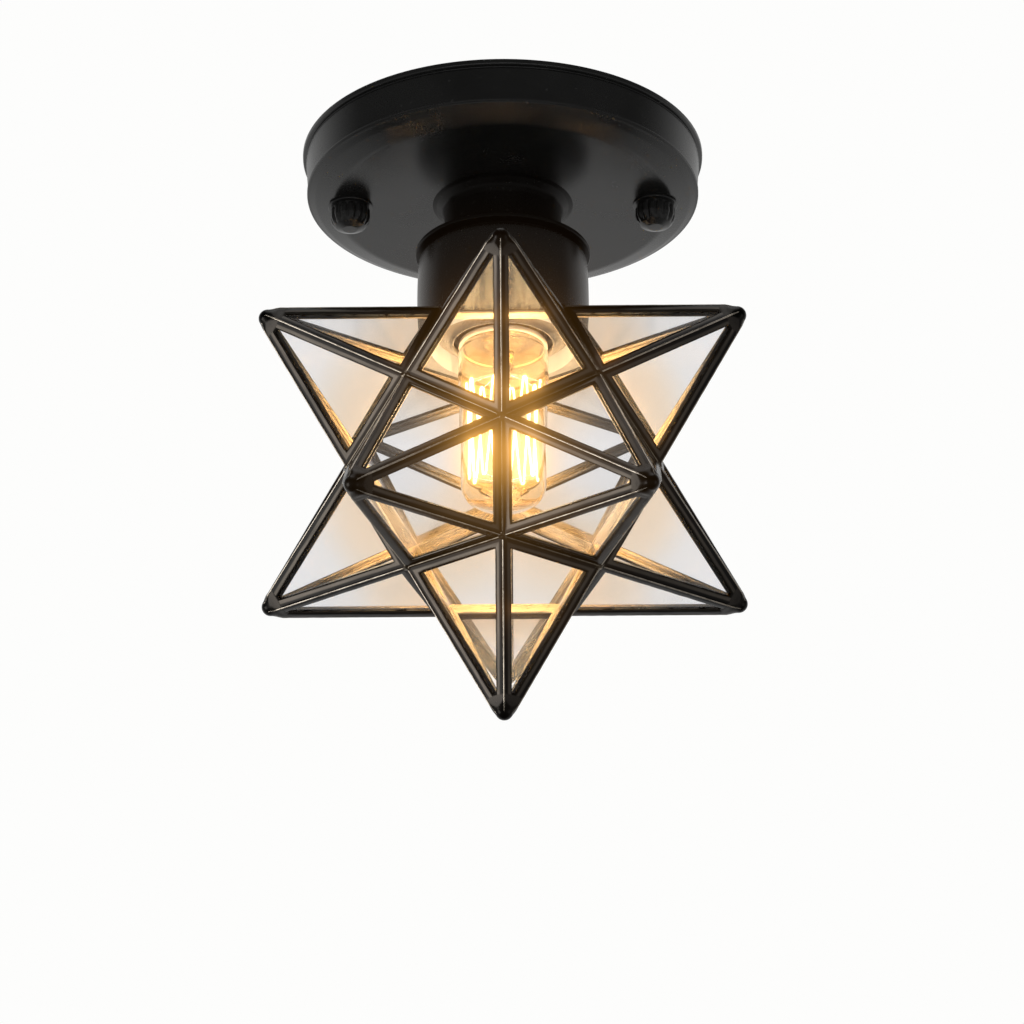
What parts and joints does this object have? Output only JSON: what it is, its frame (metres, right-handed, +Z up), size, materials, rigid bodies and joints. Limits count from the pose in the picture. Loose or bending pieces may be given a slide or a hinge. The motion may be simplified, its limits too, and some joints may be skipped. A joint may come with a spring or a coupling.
{
  "type": "semi-flush ceiling light",
  "caption": "Semi-flush ceiling light: round dark canopy with knurled cap nuts, short stem and barrel cup holding a clear glass star shade in dark metal strip round a tubular filament bulb.",
  "frame": {"origin": "centre of the mounting bracket's top face, in the plane of the ceiling and of the canopy's rim", "axes": "+Z up into the ceiling, the light hangs below; front, with the point of the shade that faces the viewer, is -Y; the two cap nuts lie on the X axis"},
  "size_m": [0.14, 0.1468, 0.1818],
  "materials": {
    "zinc_plate": "zinc plated, satin",
    "threaded_steel": "bright steel",
    "green_screw": "green dyed zinc",
    "black_metal": "satin black powder coat",
    "black_nut": "satin black, knurled",
    "brass": "plain brass",
    "black_plastic": "moulded phenolic",
    "nickel_shell": "nickel plated, soft shine",
    "wire_black": "insulated lead",
    "wire_white": "insulated lead",
    "copper": "bare copper",
    "connector_orange": "moulded twist-on connector",
    "bulb_glass": "thin amber-tinted glass",
    "black_glass": "fused black glass",
    "solder": "bright solder",
    "filament": "glowing wire",
    "solder_dark": "patinated solder",
    "bronze_strip": "dark bronze patina with thin bright worn ridges",
    "pane_glass": "clear flat glass"
  },
  "bodies": {
    "fixture": {"mounting_bracket": "zinc_plate", "canopy_studs": "threaded_steel", "stud_locknuts": "zinc_plate", "ground_screw": "green_screw", "canopy": "black_metal", "nipple": "brass", "nipple_locknut": "zinc_plate", "lock_washer": "zinc_plate", "stem": "black_metal", "shade_cup": "black_metal", "socket_cap": "black_plastic", "socket_body": "black_plastic", "socket_screw_shell": "nickel_shell", "socket_contact_tab": "brass", "socket_skirt": "nickel_shell", "lead_wire_live": "wire_black", "lead_wire_neutral": "wire_white", "ground_wire": "copper", "wire_connectors": "connector_orange"},
    "shade": {"upper_front_frame": "bronze_strip", "upper_right_frame": "bronze_strip", "upper_back_right_frame": "bronze_strip", "upper_back_left_frame": "bronze_strip", "upper_left_frame": "bronze_strip", "lower_front_right_frame": "bronze_strip", "lower_right_frame": "bronze_strip", "lower_back_frame": "bronze_strip", "lower_left_frame": "bronze_strip", "lower_front_left_frame": "bronze_strip", "bottom_frame": "bronze_strip", "upper_front_panes": "pane_glass", "upper_right_panes": "pane_glass", "upper_back_right_panes": "pane_glass", "upper_back_left_panes": "pane_glass", "upper_left_panes": "pane_glass", "lower_front_right_panes": "pane_glass", "lower_right_panes": "pane_glass", "lower_back_panes": "pane_glass", "lower_left_panes": "pane_glass", "lower_front_left_panes": "pane_glass", "bottom_panes": "pane_glass", "solder_tips": "solder_dark", "solder_joints": "solder_dark", "shade_top_plate": "bronze_strip", "shade_collar": "bronze_strip"},
    "bulb_travel": {"bulb_contact": "solder"},
    "bulb": {"bulb_glass": "bulb_glass", "bulb_cap": "brass", "bulb_insulator": "black_glass", "bulb_stem_glass": "bulb_glass", "bulb_support_wires": "threaded_steel", "bulb_filament": "filament"},
    "left_nut_travel": {"nut_washer_left": "black_metal"},
    "left_nut": {"cap_nut_left": "black_nut"},
    "right_nut_travel": {"nut_washer_right": "black_metal"},
    "right_nut": {"cap_nut_right": "black_nut"},
    "front_screw": {"shade_screw_front": "black_nut"},
    "back_right_screw": {"shade_screw_back_right": "black_nut"},
    "back_left_screw": {"shade_screw_back_left": "black_nut"}
  },
  "joints": [
    {"name": "shade_drop", "type": "slide", "parent": "fixture", "child": "shade", "axis": [0, 0, -1], "range_m": [0, 0.09]},
    {"name": "bulb_out", "type": "slide", "parent": "fixture", "child": "bulb_travel", "axis": [0, 0, -1], "range_m": [0, 0.0255]},
    {"name": "bulb_turn", "type": "hinge", "parent": "bulb_travel", "child": "bulb", "pos_m": [0, 0, -0.09], "axis": [0, 0, -1], "range_deg": [0, 2520]},
    {"name": "left_nut_out", "type": "slide", "parent": "fixture", "child": "left_nut_travel", "axis": [0, 0, -1], "range_m": [0, 0.0061]},
    {"name": "left_nut_turn", "type": "hinge", "parent": "left_nut_travel", "child": "left_nut", "pos_m": [-0.04445, 0, -0.02], "axis": [0, 0, -1], "range_deg": [0, 2700]},
    {"name": "right_nut_out", "type": "slide", "parent": "fixture", "child": "right_nut_travel", "axis": [0, 0, -1], "range_m": [0, 0.0061]},
    {"name": "right_nut_turn", "type": "hinge", "parent": "right_nut_travel", "child": "right_nut", "pos_m": [0.04445, 0, -0.02], "axis": [0, 0, -1], "range_deg": [0, 2700]},
    {"name": "front_screw_out", "type": "slide", "parent": "fixture", "child": "front_screw", "axis": [0, -1, 0], "range_m": [0, 0.003]},
    {"name": "back_right_screw_out", "type": "slide", "parent": "fixture", "child": "back_right_screw", "axis": [0.866, 0.5, 0], "range_m": [0, 0.003]},
    {"name": "back_left_screw_out", "type": "slide", "parent": "fixture", "child": "back_left_screw", "axis": [-0.866, 0.5, 0], "range_m": [0, 0.003]}
  ],
  "couplings": [
    {"joint": "bulb_out", "follows": "bulb_turn", "m_per_rad": 0.0005775},
    {"joint": "left_nut_out", "follows": "left_nut_turn", "m_per_rad": 0.00012633},
    {"joint": "right_nut_out", "follows": "right_nut_turn", "m_per_rad": 0.00012633}
  ]
}
